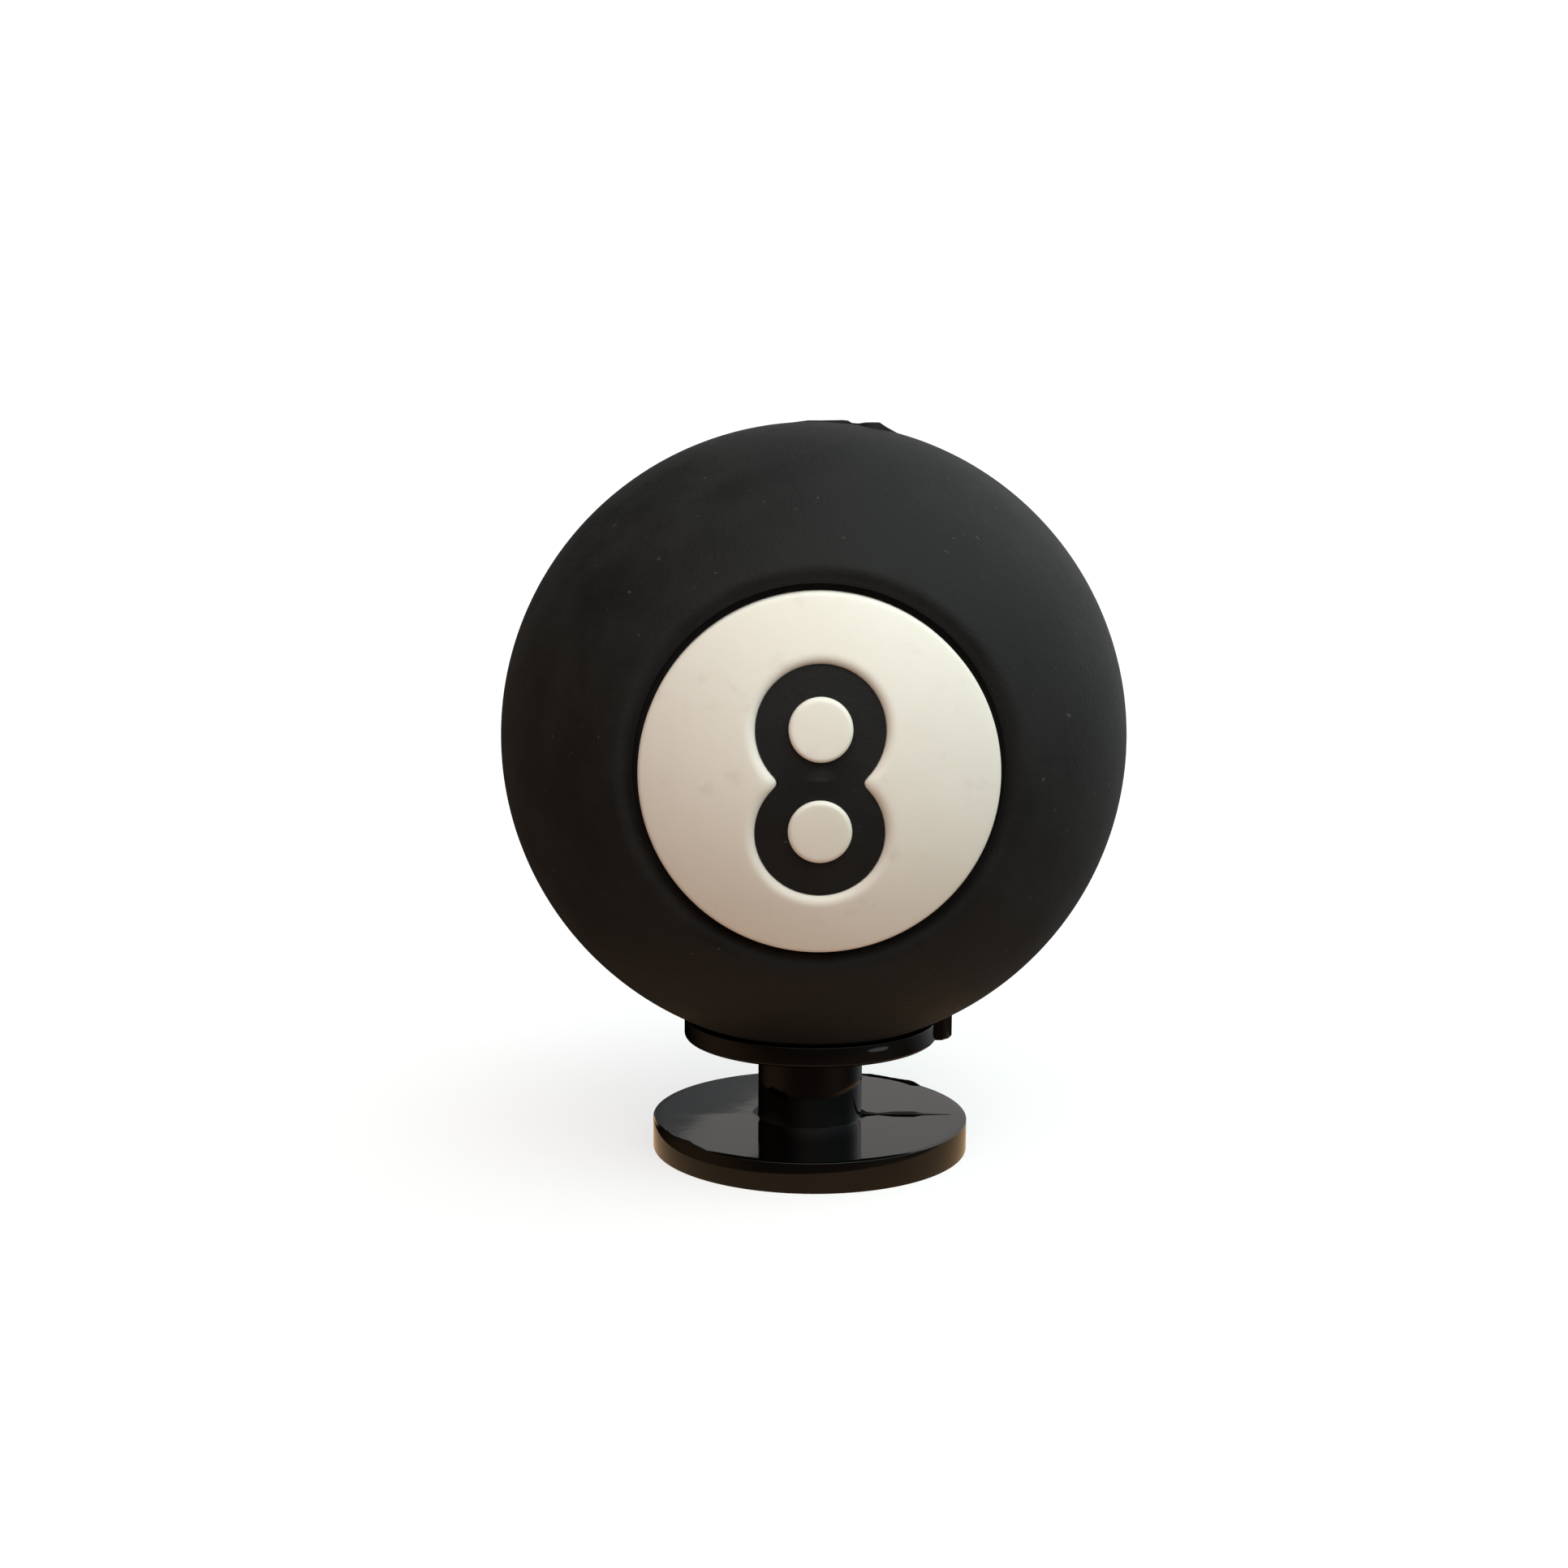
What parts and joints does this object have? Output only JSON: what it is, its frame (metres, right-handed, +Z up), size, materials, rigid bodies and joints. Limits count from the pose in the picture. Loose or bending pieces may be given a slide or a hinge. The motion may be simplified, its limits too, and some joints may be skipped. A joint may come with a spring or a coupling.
{
  "type": "novelty eight ball charm on a push-in stud",
  "caption": "Hollow black soft-PVC pool ball with a recessed white number disc on each side, held on a glossy push-in stud with a flange, a short stem and a round base.",
  "frame": {"origin": "centre of the underside of the stud's base, which is the plane that the charm stands on", "axes": "+Z up along the stud's axis to the top of the ball, -Y towards the front number disc, +X towards the gate stub on the flange"},
  "size_m": [0.024, 0.024, 0.0283],
  "materials": {
    "black_pvc": "matt, fine moulded grain",
    "white_pvc": "matt, warm white",
    "gloss_black_plastic": "high gloss as moulded"
  },
  "bodies": {
    "root": {"stud": "gloss_black_plastic", "ball_front_half": "black_pvc", "ball_back_half": "black_pvc", "front_numeral_inlay": "black_pvc", "front_number_disc": "white_pvc", "front_upper_dot": "white_pvc", "front_lower_dot": "white_pvc", "back_numeral_inlay": "black_pvc", "back_number_disc": "white_pvc", "back_upper_dot": "white_pvc", "back_lower_dot": "white_pvc"}
  },
  "joints": []
}
